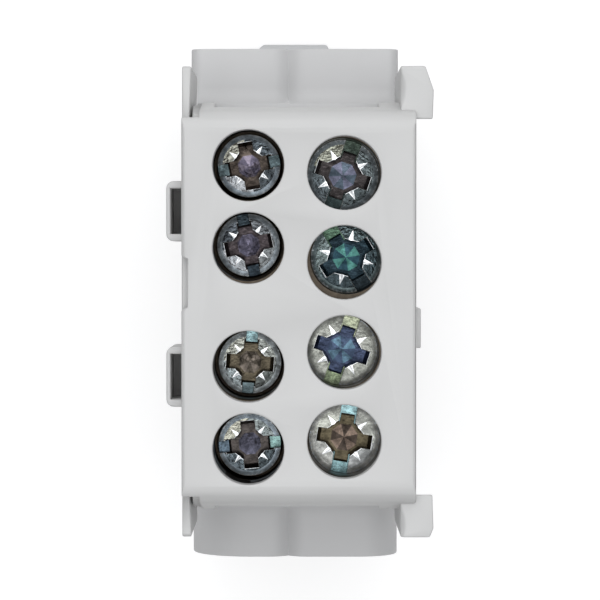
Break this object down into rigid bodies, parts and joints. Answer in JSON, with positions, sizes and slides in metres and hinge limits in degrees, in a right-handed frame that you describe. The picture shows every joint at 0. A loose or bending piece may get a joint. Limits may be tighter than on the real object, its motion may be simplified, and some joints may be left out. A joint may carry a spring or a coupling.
{
  "type": "power distribution block",
  "caption": "Single-pole rail-mounted power distribution block: grey moulded housing, terminal bar, clamping screws for large and small conductors, rail latch.",
  "frame": {"origin": "middle of the mounting rail, on the rail's front face", "axes": "+Z away from the rail to the front face with the screws, +Y along the conductors towards the rail latch, X along the rail with the hooks on +X"},
  "size_m": [0.0254, 0.0541, 0.0485],
  "materials": {
    "cover_plastic": "light grey moulded polyamide, fine satin texture",
    "base_plastic": "light grey moulded polyamide, fine satin texture",
    "terminal_metal": "tin-plated brass, sawn and drilled",
    "screw_zinc": "zinc-plated steel, blue iridescent passivation",
    "latch_plastic": "light grey moulded polyamide, fine satin texture",
    "spring_steel": "drawn spring wire"
  },
  "bodies": {
    "housing": {"cover": "cover_plastic", "base": "base_plastic", "terminal_block": "terminal_metal", "latch_spring": "spring_steel"},
    "rail_latch": {"rail_latch": "latch_plastic"},
    "screw_small_1": {"screw_small_1": "screw_zinc"},
    "screw_small_2": {"screw_small_2": "screw_zinc"},
    "screw_small_3": {"screw_small_3": "screw_zinc"},
    "screw_small_4": {"screw_small_4": "screw_zinc"},
    "screw_large_1": {"screw_large_1": "screw_zinc"},
    "screw_large_2": {"screw_large_2": "screw_zinc"},
    "screw_large_3": {"screw_large_3": "screw_zinc"},
    "screw_large_4": {"screw_large_4": "screw_zinc"}
  },
  "joints": [
    {"name": "latch_slide", "type": "slide", "parent": "housing", "child": "rail_latch", "axis": [0, 1, 0], "range_m": [0, 0.002], "stiffness_N_per_m": 1500, "springref_m": -0.003, "deforming": ["latch_spring"]},
    {"name": "clamp_small_1", "type": "slide", "parent": "housing", "child": "screw_small_1", "axis": [0, 0, -1], "range_m": [0, 0.0066]},
    {"name": "clamp_small_2", "type": "slide", "parent": "housing", "child": "screw_small_2", "axis": [0, 0, -1], "range_m": [0, 0.0066]},
    {"name": "clamp_small_3", "type": "slide", "parent": "housing", "child": "screw_small_3", "axis": [0, 0, -1], "range_m": [0, 0.0066]},
    {"name": "clamp_small_4", "type": "slide", "parent": "housing", "child": "screw_small_4", "axis": [0, 0, -1], "range_m": [0, 0.0066]},
    {"name": "clamp_large_1", "type": "slide", "parent": "housing", "child": "screw_large_1", "axis": [0, 0, -1], "range_m": [0, 0.0078]},
    {"name": "clamp_large_2", "type": "slide", "parent": "housing", "child": "screw_large_2", "axis": [0, 0, -1], "range_m": [0, 0.0078]},
    {"name": "clamp_large_3", "type": "slide", "parent": "housing", "child": "screw_large_3", "axis": [0, 0, -1], "range_m": [0, 0.0078]},
    {"name": "clamp_large_4", "type": "slide", "parent": "housing", "child": "screw_large_4", "axis": [0, 0, -1], "range_m": [0, 0.0078]}
  ]
}
